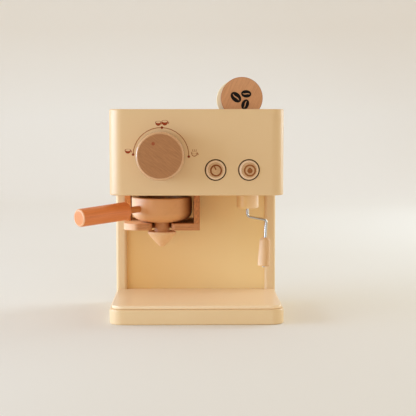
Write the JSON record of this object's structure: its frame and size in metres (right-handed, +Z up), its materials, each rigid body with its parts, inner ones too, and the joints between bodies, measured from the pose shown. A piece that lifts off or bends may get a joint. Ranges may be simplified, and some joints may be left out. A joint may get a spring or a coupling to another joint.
{
  "type": "toy coffee maker",
  "caption": "Wooden toy espresso machine with a turning dial, sprung buttons, a sliding filter holder with a side handle, a swivelling steam wand and lift-out coins.",
  "frame": {"origin": "on the floor, under the middle of the cabinet", "axes": "+Z up, +X to the right as seen from the front, +Y to the back; the dial and the buttons face -Y"},
  "size_m": [0.2159, 0.1874, 0.2583],
  "materials": {
    "cabinet_paint": "satin paint",
    "tray_paint": "gloss varnish",
    "beech": "natural, waxed",
    "knob_wood": "natural, waxed",
    "hanger_wood": "natural, waxed",
    "bowl_wood": "natural, waxed",
    "spout_wood": "natural, waxed",
    "grip_wood": "stained, waxed",
    "collar_paint": "satin paint",
    "steel_wire": "drawn",
    "zinc_screw": "zinc plated"
  },
  "bodies": {
    "cabinet": {"plinth": "cabinet_paint", "tray_plate": "tray_paint", "column_left_wall": "cabinet_paint", "column_right_wall": "cabinet_paint", "niche_panel": "cabinet_paint", "back_board": "cabinet_paint", "head_front_board": "cabinet_paint", "head_left_side": "cabinet_paint", "head_right_side": "cabinet_paint", "head_top_board": "cabinet_paint", "head_underside_board": "cabinet_paint", "hanger_board": "hanger_wood", "hanger_left_cheek": "hanger_wood", "hanger_right_cheek": "hanger_wood", "hanger_dowels": "beech", "wand_collar": "collar_paint", "button_carrier": "beech", "head_dowels": "beech", "column_dowels": "beech", "plinth_screws": "zinc_screw", "power_spring": "steel_wire", "drop_spring": "steel_wire"},
    "dial": {"dial_knob": "knob_wood", "dial_shaft": "beech", "dial_retainer": "beech", "dial_screw": "zinc_screw"},
    "power_push": {"power_button": "beech"},
    "drop_push": {"drop_button": "beech"},
    "spout_stem": {"neck_dowel": "bowl_wood", "spout": "spout_wood"},
    "filter_holder": {"filter_bowl": "bowl_wood", "handle_dowel": "beech", "handle_grip": "grip_wood"},
    "steam_wand": {"wand_wire": "steel_wire", "wand_tip": "beech", "wand_clip": "zinc_screw"},
    "front_coin": {"coin_front": "beech"},
    "rear_coin": {"coin_rear": "collar_paint"}
  },
  "joints": [
    {"name": "dial_turn", "type": "hinge", "parent": "cabinet", "child": "dial", "pos_m": [-0.037, -0.08, 0.1758], "axis": [0, 1, 0], "continuous": true},
    {"name": "power_press", "type": "slide", "parent": "cabinet", "child": "power_push", "axis": [0, 1, 0], "range_m": [0, 0.0025], "stiffness_N_per_m": 250, "springref_m": -0.003, "deforming": ["power_spring"]},
    {"name": "drop_press", "type": "slide", "parent": "cabinet", "child": "drop_push", "axis": [0, 1, 0], "range_m": [0, 0.0025], "stiffness_N_per_m": 250, "springref_m": -0.003, "deforming": ["drop_spring"]},
    {"name": "holder_pull", "type": "slide", "parent": "cabinet", "child": "spout_stem", "axis": [0, -1, 0], "range_m": [0, 0.07]},
    {"name": "holder_swing", "type": "hinge", "parent": "spout_stem", "child": "filter_holder", "pos_m": [-0.037, -0.021, 0.106], "axis": [0, 0, 1], "range_deg": [-52, 96]},
    {"name": "wand_swivel", "type": "hinge", "parent": "cabinet", "child": "steam_wand", "pos_m": [0.0553, -0.021, 0.1343], "axis": [0, 0, 1], "continuous": true},
    {"name": "front_coin_lift", "type": "slide", "parent": "cabinet", "child": "front_coin", "axis": [0, 0, 1], "range_m": [0, 0.03]},
    {"name": "rear_coin_lift", "type": "slide", "parent": "cabinet", "child": "rear_coin", "axis": [0, 0, 1], "range_m": [0, 0.03]}
  ]
}
